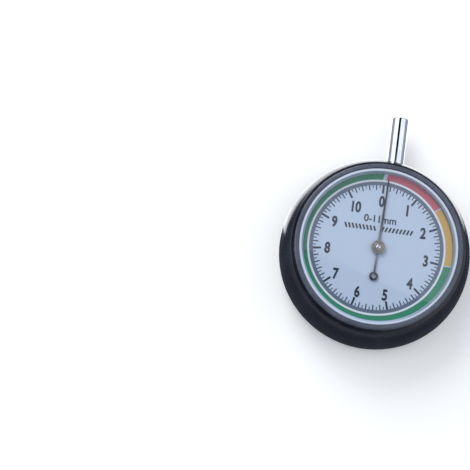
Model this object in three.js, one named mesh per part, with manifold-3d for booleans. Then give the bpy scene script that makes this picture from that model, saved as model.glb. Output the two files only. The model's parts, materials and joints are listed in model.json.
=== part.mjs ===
// Dial tyre tread depth gauge, lying on its back. Millimetres, +Z up through the dial, +Y parallel to the
// measuring stem, origin in the middle of the flat back.
//
// A chrome sleeve slides into the case round a fixed measuring pin. The sleeve carries a rack, the rack
// turns a pinion, and one turn of the pointer reads 11 mm. An extension spring pushes the sleeve out again.
// The rack meets the pinion on its right, so the stem stands to the right of the pointer's axis.
import * as THREE from "three";
import { mergeVertices } from "three/addons/utils/BufferGeometryUtils.js";
import Module from "manifold-3d";

const wasm = await Module();
wasm.setup();

// Facets round a full circle, for large, medium and small pieces.
const LARGE = 60;
const MEDIUM = 24;
const SMALL = 12;
const RUNNING = 0.05; // radial clearance of a sliding or turning fit
const SEAT = 0.1; // gap between fixed pieces

// Case: a moulded ring, open at the back for the cover and at the front for the dial.
const CASE_RADIUS = 22.8;
const WIDEST_Z = 3;
const CASE_BACK_RADIUS = 20.6;
const SHOULDER_Z = 12.5;
const SHOULDER_RADIUS = 20.45;
const SHOULDER_EDGE = [20.7, 12.2];
const WALL_BULGE = [22.6, 8.6];
const CAVITY_RADIUS = 20.4;
const CAVITY_BASE = 2.4;
const CAVITY_TOP = 10.3;
const BACK_OPENING = 19.5;
const BACK_OPENING_DEPTH = 1.5;
const DIAL_OPENING = 17.8;
const DIAL_SEAT_Z = 11.5;

// A spigot on the case carries the lens, and the bezel ring snaps over it.
const SPIGOT_INNER = 18.8;
const SPIGOT_OUTER = 19.3;
const SPIGOT_Z = 13.05;
const BEZEL_RADIUS = 19.8;
const BEZEL_INNER = 18.7;
const BEZEL_FLAT = [19.1, 19.4];
const BEZEL_GROOVE_Z = 13.55;
const BEZEL_Z = 14.2;
const LENS_RADIUS = 18.6;
const LENS_SKIRT = 0.4;
const LENS_FLANGE_TOP = 13.45;
const LENS_Z = 13.15;
const LENS_TOP = 13.95;

// Back cover with a ring groove, and its screws.
const COVER_THICKNESS = 1.2;
const COVER_GROOVE = [15.2, 15.8];
const COVER_GROOVE_DEPTH = 0.2;
const COVER_BOSS_ANGLES = [45, 135, 225, 315];
const COVER_BOSS_AT = 17.4;
const COVER_BOSS_RADIUS = 2;
const COVER_BOSS_TOP = 6;
const COVER_HOLE_TOP = 5.6;
const COVER_SHANK = 0.85;
const COVER_HEAD = 1.6;
const COVER_HEAD_DEPTH = 0.6;

// Movement: two plates on pillars, hung from posts in the case.
const PLATE_Z = 2.2;
const PLATE_TOP = 3.2;
const PLATE_RADIUS = 15.1;
const POST_ANGLES = [0, 180, 250];
const POST_AT = 18.1;
const POST_RADIUS = 1.9;
const POST_HOLE_TOP = 7.4;
const WEB_WIDTH = 3;
const EAR_RADIUS = 19.3;
const EAR_WIDTH = 3.6;
const MOVEMENT_SHANK = 0.7;
const BRIDGE_Z = 9.3;
const BRIDGE_TOP = 10.1;
const PILLARS = [
  [-8.5, 6.5],
  [-6.5, -8.5],
  [11, 0],
];
const PILLAR_RADIUS = 1.3;
const PILLAR_FOOT = 0.8;
const PILLAR_SCREW = 0.5;
const PILLAR_HOLE_Z = 6.6;
const BRIDGE_CORNER = 2.2;

// The arbor's pivots, and the bushes that they turn in.
const LOWER_PIVOT = 0.4;
const UPPER_PIVOT = 0.7;
const ARBOR_RADIUS = 0.9;
const LOWER_BUSH = { outer: 1.15, inner: LOWER_PIVOT + RUNNING };
const UPPER_BUSH = { outer: 1.3, inner: UPPER_PIVOT + RUNNING };

// Dial and pointer.
const DIAL_RADIUS = 18.7;
const DIAL_HOLE = 1.3;
const DIAL_BASE = 11.55;
const DIAL_TOP = 11.95;
const DIAL_FEET = [
  [0, 7.5],
  [0, -7.5],
];
const DIAL_FOOT_RADIUS = 0.6;
const NEEDLE_PAST_ZERO = 2.2; // degrees the needle rests clockwise of the printed zero
const NEEDLE_Z = 12.35;
const NEEDLE_THICKNESS = 0.15;
const NEEDLE_REACH = 16.6;
const NEEDLE_TAIL_AT = -7;
const NEEDLE_ROOT = 0.32; // half widths
const NEEDLE_END = 0.16;
const NEEDLE_TAIL = 0.25;
const NEEDLE_BOSS = 1.3;
const TAIL_RING = 1.05;
const TAIL_RING_HOLE = 0.48;
const HUB_RADIUS = 1.65;
const HUB_Z = 12.55;
const HUB_TOP = 12.93;
const SPINDLE_RADIUS = 0.5;
const SPINDLE_TOP = 13;

// Stem: the sleeve slides on the stem axis, round the pin.
const STEM_X = 2.15;
const STEM_Z = 6.2;
const SLEEVE_RADIUS = 2;
const SLEEVE_BORE = 0.85;
const SLEEVE_TIP = 33.3;
const SLEEVE_FOOT = 17.1;
const PIN_RADIUS = 0.75;
const PIN_FOOT = 2.6;
const BUSH_INNER_END = 18.3;
const BUSH_SHOULDER = 19.4;
const BUSH_OUTER_END = 21.8;
const BUSH_RADIUS = 2.7;
const BUSH_FLANGE = 3.6;

// The pin is clamped in a block on the lower plate, whose arm reaches over the rack.
const ANCHOR_LOW = [-3.3, 2.6, PLATE_TOP + RUNNING];
const ANCHOR_HIGH = [3.4, 4.3, 7.8];
const ANCHOR_FOOT_END = 1.3;
const ANCHOR_SCREW = [-2.4, 3.45];
const CLAMP_SCREW = [STEM_X, 3.45];
const ANCHOR_HOLE = 0.45;
const CLAMP_HOLE = 0.4;

// Rack and pinion: 14 teeth of module 0.25 make one turn in 11 mm.
const TEETH = 14;
const MODULE = 0.25;
const PRESSURE_ANGLE = THREE.MathUtils.degToRad(20);
const BACKLASH = 0.03; // taken off each flank
const PITCH = Math.PI * MODULE;
const PITCH_RADIUS = (TEETH * MODULE) / 2;
const PINION_Z = 3.5;
const PINION_TOP = 5.3;
const RACK_ADDENDUM = 0.18;
const RACK_DEDENDUM = 0.28;
const RACK_BACK = 3.4;
const RACK_LOW = -6.6;
const RACK_HIGH = 16.9;
const RACK_Z = 3.45;
const RACK_TOP = 5;
const RACK_ARM_END = 8.1;
const RACK_ARM_TOP = -5;
const RACK_HEAD_END = 4.65;
const RACK_HEAD_LOW = 15.6;
const FIRST_TOOTH = -3;
const LAST_TOOTH = 16;
const CARRIAGE_LOW = 15.6;
const CARRIAGE_HIGH = 18.2;
const CARRIAGE_LEFT = -0.6;
const CARRIAGE_RIGHT = 5;
const CARRIAGE_Z = 3.7;
const CARRIAGE_TOP = 8.45;
const RIVET = { x: 4, y: 16.25, radius: 0.35 };

// A bracket on the lower plate covers the rack and holds its back against the pinion.
const GUIDE_LOW = [2.6, -2.6, PLATE_TOP + RUNNING];
const GUIDE_HIGH = [5.2, 2.4, 6.6];
const GUIDE_SCREWS = [
  [4.4, 1.7],
  [4.4, -1.7],
];
const GUIDE_HOLE = 0.45;

// Return spring, hooked between a post on the lower plate and a post on the rack's arm.
const SPRING_X = 7.2;
const SPRING_FIXED_Y = 12.8;
const SPRING_MOVING_Y = -5.8;
const SPRING_RADIUS = 0.8;
const SPRING_WIRE = 0.14;
const SPRING_TURNS = 10;
const SPRING_POST = 0.42;
const SPRING_POST_TOP = 7.6;

// Hairspring: a flat spiral that keeps the teeth pressed to one side.
const HAIR_Z = 8.6;
const HAIR_HEIGHT = 0.35;
const HAIR_THICKNESS = 0.12;
const HAIR_INNER = 1.45;
const HAIR_OUTER = 4;
const HAIR_TURNS = 4;
const HAIR_FACETS = 16; // a turn

const FINISHES = {
  blackPlastic: { color: 0x17191d, roughness: 0.25, metalness: 0 },
  clearPlastic: { color: 0xe8eef5, roughness: 0.05, metalness: 0, transparent: true, opacity: 0.3 },
  dialEnamel: { color: 0xd3dcec, roughness: 0.5, metalness: 0 },
  chrome: { color: 0xd8dde6, roughness: 0.08, metalness: 1 },
  hardSteel: { color: 0x9a9da3, roughness: 0.3, metalness: 1 },
  springSteel: { color: 0x6d7078, roughness: 0.35, metalness: 1 },
  brass: { color: 0xb8955a, roughness: 0.35, metalness: 1 },
  needleBlack: { color: 0x202329, roughness: 0.4, metalness: 0.3 },
  blackSteel: { color: 0x2a2c30, roughness: 0.4, metalness: 0.8 },
};

const gauge = new THREE.Group();
const stem = new THREE.Group(); // its +Z is the stem's axis
stem.position.set(STEM_X, 0, STEM_Z);
stem.rotation.x = -Math.PI / 2;
gauge.add(stem);

// ---------- shapes ----------

const point = (x, y) => new THREE.Vector2(x, y);
const polar = (radius, degrees) => {
  const angle = THREE.MathUtils.degToRad(degrees);
  return [radius * Math.cos(angle), radius * Math.sin(angle)];
};

// A profile of [radius, height] pairs, listed anticlockwise, turned round Z.
function lathe(profile, facets = MEDIUM) {
  const points = profile.map(([radius, height]) => point(radius, height));
  return new THREE.LatheGeometry(points, facets).rotateX(Math.PI / 2);
}

// The same for a profile that closes on itself, away from the axis.
const latheRing = (profile, facets = MEDIUM) => lathe([...profile, profile[0]], facets);

function rod(radius, low, high, [x, y] = [0, 0], facets = SMALL) {
  return new THREE.CylinderGeometry(radius, radius, high - low, facets)
    .rotateX(Math.PI / 2)
    .translate(x, y, (low + high) / 2);
}

// A cylinder along +Y on the stem's axis.
function stemBore(radius, from, to) {
  return rod(radius, from, to, [0, 0], MEDIUM).rotateX(-Math.PI / 2).translate(STEM_X, 0, STEM_Z);
}

function box([x0, y0, z0], [x1, y1, z1]) {
  return new THREE.BoxGeometry(x1 - x0, y1 - y0, z1 - z0)
    .translate((x0 + x1) / 2, (y0 + y1) / 2, (z0 + z1) / 2);
}

function plate(outline, low, high) {
  return new THREE.ExtrudeGeometry(outline, { depth: high - low, bevelEnabled: false })
    .translate(0, 0, low);
}

// A curve between two [radius, height] pairs that bends towards a third.
function bend(from, towards, to, steps) {
  const curve = new THREE.QuadraticBezierCurve(point(...from), point(...towards), point(...to));
  return curve.getPoints(steps).map((at) => [at.x, at.y]);
}

// ---------- joining and cutting ----------

function solid(geometry) {
  const bare = geometry.clone();
  bare.deleteAttribute("normal");
  bare.deleteAttribute("uv");
  const merged = mergeVertices(bare, 1e-4);
  return new wasm.Manifold(
    new wasm.Mesh({
      numProp: 3,
      vertProperties: merged.attributes.position.array,
      triVerts: new Uint32Array(merged.index.array),
    }),
  );
}

function geometryOf(body) {
  const mesh = body.getMesh();
  const geometry = new THREE.BufferGeometry();
  geometry.setAttribute("position", new THREE.BufferAttribute(mesh.vertProperties, 3));
  geometry.setIndex(new THREE.BufferAttribute(mesh.triVerts, 1));
  geometry.computeVertexNormals();
  return geometry;
}

// The first geometry with the others joined to it, then the cutters taken out.
function shaped(joined, cutters = []) {
  let body = joined.map(solid).reduce((whole, next) => whole.add(next));
  for (const cutter of cutters) body = body.subtract(solid(cutter));
  return geometryOf(body);
}

function part(name, finish, geometry, parent = gauge) {
  const mesh = new THREE.Mesh(geometry, new THREE.MeshStandardMaterial(FINISHES[finish]));
  mesh.name = name;
  parent.add(mesh);
  return mesh;
}

// ---------- case ----------

// A block from the given radius out into the case wall, which ties a boss to it.
function web(degrees, from, low, high) {
  return box([from, -WEB_WIDTH / 2, low], [CAVITY_RADIUS + 0.4, WEB_WIDTH / 2, high])
    .rotateZ(THREE.MathUtils.degToRad(degrees));
}

function caseBody() {
  const shell = latheRing(
    [
      [BACK_OPENING, 0],
      [CASE_BACK_RADIUS, 0],
      ...bend([CASE_BACK_RADIUS, 0], [CASE_RADIUS, 0.3], [CASE_RADIUS, WIDEST_Z], 4).slice(1),
      ...bend([CASE_RADIUS, WIDEST_Z], WALL_BULGE, SHOULDER_EDGE, 4).slice(1),
      [SHOULDER_RADIUS, SHOULDER_Z],
      [SPIGOT_OUTER, SHOULDER_Z],
      [SPIGOT_OUTER, SPIGOT_Z],
      [SPIGOT_INNER, SPIGOT_Z],
      [SPIGOT_INNER, DIAL_SEAT_Z],
      [DIAL_OPENING, DIAL_SEAT_Z],
      [DIAL_OPENING, CAVITY_TOP],
      [CAVITY_RADIUS, CAVITY_TOP],
      [CAVITY_RADIUS, CAVITY_BASE],
      [BACK_OPENING, BACK_OPENING_DEPTH],
    ],
    LARGE,
  );
  const bossLow = COVER_THICKNESS + SEAT;
  const postLow = PLATE_TOP + SEAT;
  const postHigh = CAVITY_TOP + 0.2;
  const bosses = COVER_BOSS_ANGLES.flatMap((degrees) => [
    rod(COVER_BOSS_RADIUS, bossLow, COVER_BOSS_TOP, polar(COVER_BOSS_AT, degrees)),
    web(degrees, COVER_BOSS_AT, CAVITY_BASE + 0.2, COVER_BOSS_TOP),
  ]);
  const posts = POST_ANGLES.flatMap((degrees) => [
    rod(POST_RADIUS, postLow, postHigh, polar(POST_AT, degrees)),
    web(degrees, POST_AT, postLow, postHigh),
  ]);
  const coverHoles = COVER_BOSS_ANGLES.map((degrees) =>
    rod(COVER_SHANK + SEAT, bossLow - 1, COVER_HOLE_TOP, polar(COVER_BOSS_AT, degrees)),
  );
  const postHoles = POST_ANGLES.map((degrees) =>
    rod(MOVEMENT_SHANK + SEAT, postLow - 1, POST_HOLE_TOP, polar(POST_AT, degrees)),
  );
  const stemHole = stemBore(BUSH_RADIUS + SEAT, CAVITY_RADIUS - 1.5, CASE_RADIUS + 1);
  return shaped([shell, ...bosses, ...posts], [...coverHoles, ...postHoles, stemHole]);
}

function backCover() {
  const rim = BACK_OPENING - SEAT;
  const disc = lathe(
    [
      [0, 0],
      [COVER_GROOVE[0], 0],
      [COVER_GROOVE[0] + 0.15, COVER_GROOVE_DEPTH],
      [COVER_GROOVE[1] - 0.15, COVER_GROOVE_DEPTH],
      [COVER_GROOVE[1], 0],
      [rim - 0.2, 0],
      [rim, 0.2],
      [rim, COVER_THICKNESS],
      [0, COVER_THICKNESS],
    ],
    LARGE,
  );
  const holes = COVER_BOSS_ANGLES.flatMap((degrees) => [
    rod(COVER_SHANK + SEAT, -1, COVER_THICKNESS + 1, polar(COVER_BOSS_AT, degrees)),
    rod(COVER_HEAD + SEAT, -1, COVER_HEAD_DEPTH, polar(COVER_BOSS_AT, degrees)),
  ]);
  return shaped([disc], holes);
}

function bezelRing() {
  const roundLow = BEZEL_Z - 0.4;
  return latheRing(
    [
      [BEZEL_INNER, BEZEL_GROOVE_Z],
      [SPIGOT_OUTER + SEAT, BEZEL_GROOVE_Z],
      [SPIGOT_OUTER + SEAT, SHOULDER_Z + SEAT],
      [BEZEL_RADIUS, SHOULDER_Z + SEAT],
      ...bend([BEZEL_RADIUS, roundLow], [BEZEL_RADIUS, BEZEL_Z], [BEZEL_FLAT[1], BEZEL_Z], 3),
      ...bend([BEZEL_FLAT[0], BEZEL_Z], [BEZEL_INNER, BEZEL_Z], [BEZEL_INNER, roundLow], 3),
    ],
    LARGE,
  );
}

function lens() {
  return lathe(
    [
      [0, LENS_Z],
      [LENS_RADIUS - LENS_SKIRT, LENS_Z],
      [LENS_RADIUS - LENS_SKIRT, DIAL_TOP + SEAT],
      [LENS_RADIUS, DIAL_TOP + SEAT],
      [LENS_RADIUS, LENS_Z],
      [SPIGOT_OUTER - SEAT, LENS_Z],
      [SPIGOT_OUTER - SEAT, LENS_FLANGE_TOP],
      [LENS_RADIUS, LENS_FLANGE_TOP],
      [LENS_RADIUS, LENS_TOP - 0.15],
      [LENS_RADIUS - 0.15, LENS_TOP],
      [0, LENS_TOP],
    ],
    LARGE,
  );
}

function dialPlate() {
  const disc = rod(DIAL_RADIUS, DIAL_BASE, DIAL_TOP, [0, 0], LARGE);
  const feet = DIAL_FEET.map((at) => rod(DIAL_FOOT_RADIUS, BRIDGE_TOP + SEAT, DIAL_BASE + 0.1, at));
  return shaped([disc, ...feet], [rod(DIAL_HOLE, DIAL_BASE - 1, DIAL_TOP + 1)]);
}

// ---------- fasteners ----------

// A screw that points along +Z from the underside of its head, with a slot or a cross cut in the head.
function screwGeometry({ head, headHeight, shank, length, cross = false }) {
  const blank = lathe(
    [
      [0, -headHeight],
      [head * 0.85, -headHeight],
      [head, -headHeight * 0.7],
      [head, 0],
      [shank, 0],
      [shank, length - shank / 2],
      [shank / 2, length],
      [0, length],
    ],
    SMALL,
  );
  const half = head * (cross ? 0.6 : 1.2);
  const slot = box([-half, -head * 0.14, -headHeight - 1], [half, head * 0.14, -headHeight * 0.5]);
  return shaped([blank], cross ? [slot, slot.clone().rotateZ(Math.PI / 2)] : [slot]);
}

// A screw driven in upwards from below (up) or downwards from above.
function screw(name, finish, size, [x, y], z, up) {
  const mesh = part(name, finish, screwGeometry(size));
  mesh.position.set(x, y, z);
  if (!up) mesh.rotation.x = Math.PI;
}

function coverScrews() {
  const size = {
    head: COVER_HEAD,
    headHeight: COVER_HEAD_DEPTH - 0.1,
    shank: COVER_SHANK,
    length: 4.6,
    cross: true,
  };
  COVER_BOSS_ANGLES.forEach((degrees, i) => {
    const at = polar(COVER_BOSS_AT, degrees);
    screw(`cover_screw_${i + 1}`, "blackSteel", size, at, COVER_HEAD_DEPTH - 0.05, true);
  });
}

function movementScrews() {
  const size = { head: 1.4, headHeight: 0.6, shank: MOVEMENT_SHANK, length: 4.6 };
  POST_ANGLES.forEach((degrees, i) => {
    const at = polar(POST_AT, degrees);
    screw(`movement_screw_${i + 1}`, "hardSteel", size, at, PLATE_Z - RUNNING, true);
  });
}

function bridgeScrews() {
  const size = { head: 1.05, headHeight: 0.5, shank: PILLAR_SCREW, length: 3.2 };
  PILLARS.forEach((at, i) =>
    screw(`bridge_screw_${i + 1}`, "hardSteel", size, at, BRIDGE_TOP + RUNNING, false),
  );
}

// ---------- movement ----------

function lowerPlate() {
  const disc = rod(PLATE_RADIUS, PLATE_Z, PLATE_TOP, [0, 0], LARGE);
  const ears = POST_ANGLES.map((degrees) =>
    box([PLATE_RADIUS - 2, -EAR_WIDTH / 2, PLATE_Z], [EAR_RADIUS, EAR_WIDTH / 2, PLATE_TOP])
      .rotateZ(THREE.MathUtils.degToRad(degrees)),
  );
  const holes = [
    ...POST_ANGLES.map((degrees) => [polar(POST_AT, degrees), MOVEMENT_SHANK + SEAT]),
    ...PILLARS.map((at) => [at, PILLAR_FOOT + SEAT]),
    ...GUIDE_SCREWS.map((at) => [at, GUIDE_HOLE + RUNNING]),
    [ANCHOR_SCREW, ANCHOR_HOLE + RUNNING],
    [[0, 0], LOWER_BUSH.outer + SEAT],
  ];
  return shaped(
    [disc, ...ears],
    holes.map(([at, radius]) => rod(radius, PLATE_Z - 1, PLATE_TOP + 1, at)),
  );
}

function pillar() {
  return lathe(
    [
      [0, PLATE_Z + RUNNING],
      [PILLAR_FOOT, PLATE_Z + RUNNING],
      [PILLAR_FOOT, PLATE_TOP + RUNNING],
      [PILLAR_RADIUS, PLATE_TOP + RUNNING],
      [PILLAR_RADIUS, BRIDGE_Z - RUNNING],
      [PILLAR_SCREW + SEAT, BRIDGE_Z - RUNNING],
      [PILLAR_SCREW + SEAT, PILLAR_HOLE_Z],
      [0, PILLAR_HOLE_Z],
    ],
    SMALL,
  );
}

// The triangle through the pillars, grown by the corner radius.
function bridgeOutline(radius) {
  const outline = new THREE.Shape();
  PILLARS.forEach(([x, y], i) => {
    const [lastX, lastY] = PILLARS.at(i - 1);
    const [nextX, nextY] = PILLARS[(i + 1) % PILLARS.length];
    const from = Math.atan2(y - lastY, x - lastX) - Math.PI / 2;
    const to = Math.atan2(nextY - y, nextX - x) - Math.PI / 2;
    outline.absarc(x, y, radius, from, to, false);
  });
  return outline;
}

function upperBridge() {
  const screwHoles = PILLARS.map((at) => [at, PILLAR_SCREW + SEAT]);
  const holes = [...screwHoles, [[0, 0], UPPER_BUSH.outer + SEAT]];
  return shaped(
    [plate(bridgeOutline(BRIDGE_CORNER), BRIDGE_Z, BRIDGE_TOP)],
    holes.map(([at, radius]) => rod(radius, BRIDGE_Z - 1, BRIDGE_TOP + 1, at)),
  );
}

function bush({ outer, inner }, low, high) {
  return latheRing(
    [
      [inner, low],
      [outer, low],
      [outer, high],
      [inner, high],
    ],
    MEDIUM,
  );
}

// ---------- pinion, pointer and hairspring ----------

// Half the angle of a tooth at a radius: straight inside the base circle, involute outside it.
function toothHalfAngle(radius) {
  const involute = (angle) => Math.tan(angle) - angle;
  const base = PITCH_RADIUS * Math.cos(PRESSURE_ANGLE);
  const atPitch = (PITCH / 4 - BACKLASH) / PITCH_RADIUS;
  const here = radius > base ? involute(Math.acos(base / radius)) : 0;
  return atPitch + involute(PRESSURE_ANGLE) - here;
}

function pinionOutline() {
  const radii = [PITCH_RADIUS - 0.3, 1.65, PITCH_RADIUS, 1.86, PITCH_RADIUS + 0.22];
  const points = [];
  for (let tooth = 0; tooth < TEETH; tooth++) {
    const middle = (2 * Math.PI * tooth) / TEETH;
    const flank = (radius, side) => {
      const angle = middle + side * toothHalfAngle(radius);
      return point(radius * Math.cos(angle), radius * Math.sin(angle));
    };
    points.push(...radii.map((radius) => flank(radius, -1)));
    points.push(...radii.toReversed().map((radius) => flank(radius, 1)));
  }
  return new THREE.Shape(points);
}

function pointerArbor() {
  const spindle = lathe([
    [0, PLATE_Z + SEAT],
    [LOWER_PIVOT, PLATE_Z + SEAT],
    [LOWER_PIVOT, PLATE_TOP + 0.4],
    [ARBOR_RADIUS, PLATE_TOP + 0.4],
    [ARBOR_RADIUS, PINION_TOP + 0.5],
    [UPPER_PIVOT, PINION_TOP + 0.5],
    [UPPER_PIVOT, BRIDGE_TOP + 0.4],
    [SPINDLE_RADIUS, BRIDGE_TOP + 0.6],
    [SPINDLE_RADIUS, SPINDLE_TOP - 0.1],
    [SPINDLE_RADIUS - 0.1, SPINDLE_TOP],
    [0, SPINDLE_TOP],
  ]);
  return shaped([spindle, plate(pinionOutline(), PINION_Z, PINION_TOP)]);
}

// A band that winds outwards from the collet to the stud.
function hairspring() {
  const steps = HAIR_TURNS * HAIR_FACETS;
  const edge = (offset) =>
    Array.from({ length: steps + 1 }, (_, i) => {
      const angle = Math.PI + 2 * Math.PI * (i / HAIR_FACETS - HAIR_TURNS);
      const radius = THREE.MathUtils.lerp(HAIR_INNER, HAIR_OUTER, i / steps) + offset;
      return point(radius * Math.cos(angle), radius * Math.sin(angle));
    });
  const outline = new THREE.Shape([
    ...edge(HAIR_THICKNESS / 2),
    ...edge(-HAIR_THICKNESS / 2).reverse(),
  ]);
  return plate(outline, HAIR_Z, HAIR_Z + HAIR_HEIGHT);
}

function pointerHub() {
  return latheRing([
    [SPINDLE_RADIUS + RUNNING, HUB_Z],
    [HUB_RADIUS - 0.15, HUB_Z],
    [HUB_RADIUS, HUB_Z + 0.1],
    [HUB_RADIUS, HUB_TOP - 0.18],
    [HUB_RADIUS - 0.1, HUB_TOP - 0.08],
    [1.1, HUB_TOP - 0.08],
    [1, HUB_TOP],
    [SPINDLE_RADIUS + RUNNING, HUB_TOP],
  ]);
}

// The needle points along +Y here, with a ring for a counterweight behind it.
function pointerNeedle() {
  const high = NEEDLE_THICKNESS;
  const blade = new THREE.Shape([
    point(-NEEDLE_ROOT, 0),
    point(NEEDLE_ROOT, 0),
    point(NEEDLE_END, NEEDLE_REACH - 0.5),
    point(0, NEEDLE_REACH),
    point(-NEEDLE_END, NEEDLE_REACH - 0.5),
  ]);
  const tail = box([-NEEDLE_TAIL, NEEDLE_TAIL_AT + 0.8, 0], [NEEDLE_TAIL, 0, high]);
  const boss = rod(NEEDLE_BOSS, 0, high, [0, 0], MEDIUM);
  const ring = rod(TAIL_RING, 0, high, [0, NEEDLE_TAIL_AT], MEDIUM);
  return shaped(
    [plate(blade, 0, high), tail, boss, ring],
    [
      rod(SPINDLE_RADIUS + RUNNING, -1, 1),
      rod(TAIL_RING_HOLE, -1, 1, [0, NEEDLE_TAIL_AT]),
    ],
  );
}

// ---------- sleeve, pin, rack and spring ----------

function measuringSleeve() {
  return latheRing([
    [SLEEVE_BORE, SLEEVE_FOOT],
    [SLEEVE_RADIUS, SLEEVE_FOOT],
    [SLEEVE_RADIUS, SLEEVE_TIP - 0.25],
    [SLEEVE_RADIUS - 0.2, SLEEVE_TIP],
    [SLEEVE_BORE + 0.15, SLEEVE_TIP],
    [SLEEVE_BORE, SLEEVE_TIP - 0.15],
  ]);
}

function measuringPin() {
  return lathe(
    [
      [0, PIN_FOOT],
      [PIN_RADIUS, PIN_FOOT],
      [PIN_RADIUS, SLEEVE_TIP - 0.15],
      [PIN_RADIUS - 0.15, SLEEVE_TIP],
      [0, SLEEVE_TIP],
    ],
    MEDIUM,
  );
}

function stemBush() {
  return latheRing([
    [SLEEVE_RADIUS + RUNNING, BUSH_INNER_END],
    [BUSH_FLANGE, BUSH_INNER_END],
    [BUSH_FLANGE, BUSH_SHOULDER],
    [BUSH_RADIUS, BUSH_SHOULDER],
    [BUSH_RADIUS, BUSH_OUTER_END - 0.2],
    [BUSH_RADIUS - 0.2, BUSH_OUTER_END],
    [SLEEVE_RADIUS + RUNNING, BUSH_OUTER_END],
  ]);
}

// The toothed edge faces the pinion; a gap of the rack stands opposite a pinion tooth.
function rackOutline() {
  const root = PITCH_RADIUS + RACK_DEDENDUM;
  const tip = PITCH_RADIUS - RACK_ADDENDUM;
  const half = (x) => PITCH / 4 - BACKLASH + (x - PITCH_RADIUS) * Math.tan(PRESSURE_ANGLE);
  const outline = [
    point(root, RACK_LOW),
    point(RACK_ARM_END, RACK_LOW),
    point(RACK_ARM_END, RACK_ARM_TOP),
    point(RACK_BACK, RACK_ARM_TOP),
    point(RACK_BACK, RACK_HEAD_LOW),
    point(RACK_HEAD_END, RACK_HEAD_LOW),
    point(RACK_HEAD_END, RACK_HIGH),
    point(root, RACK_HIGH),
  ];
  for (let tooth = LAST_TOOTH; tooth >= FIRST_TOOTH; tooth--) {
    const middle = (tooth + 0.5) * PITCH;
    outline.push(
      point(root, middle + half(root)),
      point(tip, middle + half(tip)),
      point(tip, middle - half(tip)),
      point(root, middle - half(root)),
    );
  }
  return new THREE.Shape(outline);
}

function rack() {
  return shaped(
    [plate(rackOutline(), RACK_Z, RACK_TOP)],
    [
      rod(RIVET.radius + RUNNING, RACK_Z - 1, RACK_TOP + 1, [RIVET.x, RIVET.y]),
      rod(SPRING_POST + RUNNING, RACK_Z - 1, RACK_TOP + 1, [SPRING_X, SPRING_MOVING_Y]),
    ],
  );
}

function rackCarriage() {
  const slotEnd = SLEEVE_FOOT - SEAT;
  return shaped(
    [box([CARRIAGE_LEFT, CARRIAGE_LOW, CARRIAGE_Z], [CARRIAGE_RIGHT, CARRIAGE_HIGH, CARRIAGE_TOP])],
    [
      stemBore(SLEEVE_BORE, CARRIAGE_LOW - 1, CARRIAGE_HIGH + 1),
      stemBore(SLEEVE_RADIUS + RUNNING, SLEEVE_FOOT - RUNNING, CARRIAGE_HIGH + 1),
      box(
        [ANCHOR_FOOT_END, CARRIAGE_LOW - 1, CARRIAGE_Z - 1],
        [CARRIAGE_RIGHT + 1, slotEnd, RACK_TOP + RUNNING],
      ),
      rod(RIVET.radius + RUNNING, CARRIAGE_Z - 1, CARRIAGE_TOP + 1, [RIVET.x, RIVET.y]),
    ],
  );
}

function rackGuide() {
  const slot = box(
    [GUIDE_LOW[0] - 1, GUIDE_LOW[1] - 1, GUIDE_LOW[2] - 1],
    [RACK_BACK + SEAT, GUIDE_HIGH[1] + 1, RACK_TOP + SEAT],
  );
  const holes = GUIDE_SCREWS.map((at) =>
    rod(GUIDE_HOLE, GUIDE_LOW[2] - 1, GUIDE_HIGH[2] + 1, at),
  );
  return shaped([box(GUIDE_LOW, GUIDE_HIGH)], [slot, ...holes]);
}

function pinAnchor() {
  const rackPassage = box(
    [ANCHOR_FOOT_END, ANCHOR_LOW[1] - 1, ANCHOR_LOW[2] - 1],
    [ANCHOR_HIGH[0] + 1, ANCHOR_HIGH[1] + 1, RACK_TOP + SEAT],
  );
  return shaped(
    [box(ANCHOR_LOW, ANCHOR_HIGH)],
    [
      rackPassage,
      stemBore(PIN_RADIUS + RUNNING, PIN_FOOT - RUNNING, ANCHOR_HIGH[1] + 1),
      rod(ANCHOR_HOLE, ANCHOR_LOW[2] - 1, ANCHOR_HIGH[2] + 1, ANCHOR_SCREW),
      rod(CLAMP_HOLE, STEM_Z, ANCHOR_HIGH[2] + 1, CLAMP_SCREW),
    ],
  );
}

// A helix along +Y whose ends draw in to its axis beside the two posts.
class SpringPath extends THREE.Curve {
  getPoint(t, target = new THREE.Vector3()) {
    const eye = SPRING_POST + SPRING_WIRE + SEAT;
    const low = SPRING_MOVING_Y + eye + 0.4;
    const high = SPRING_FIXED_Y - eye - 0.4;
    const angle = 2 * Math.PI * SPRING_TURNS * t;
    const ease = Math.min(1, 10 * t, 10 * (1 - t));
    const radius = SPRING_RADIUS * Math.sqrt(ease);
    return target.set(
      SPRING_X + radius * Math.sin(angle),
      THREE.MathUtils.lerp(low, high, t),
      STEM_Z + radius * Math.cos(angle),
    );
  }
}

function returnSpring() {
  const wire = new THREE.Shape();
  const sides = 5;
  for (let i = 0; i < sides; i++) {
    const [x, y] = polar(SPRING_WIRE, (360 * i) / sides);
    if (i === 0) wire.moveTo(x, y);
    else wire.lineTo(x, y);
  }
  wire.closePath();
  return new THREE.ExtrudeGeometry(wire, {
    steps: SPRING_TURNS * 8,
    extrudePath: new SpringPath(),
  });
}

// ---------- assembly ----------

part("case_body", "blackPlastic", caseBody());
part("back_cover", "blackPlastic", backCover());
coverScrews();
part("bezel_ring", "blackPlastic", bezelRing());
part("lens", "clearPlastic", lens());
part("dial_plate", "dialEnamel", dialPlate());

part("lower_plate", "brass", lowerPlate());
movementScrews();
PILLARS.forEach(([x, y], i) => part(`pillar_${i + 1}`, "brass", pillar()).position.set(x, y, 0));
part("upper_bridge", "brass", upperBridge());
bridgeScrews();
part("lower_bush", "hardSteel", bush(LOWER_BUSH, PLATE_Z, PLATE_TOP + 0.2));
part("upper_bush", "hardSteel", bush(UPPER_BUSH, BRIDGE_Z - 0.1, BRIDGE_TOP + 0.1));

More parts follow.
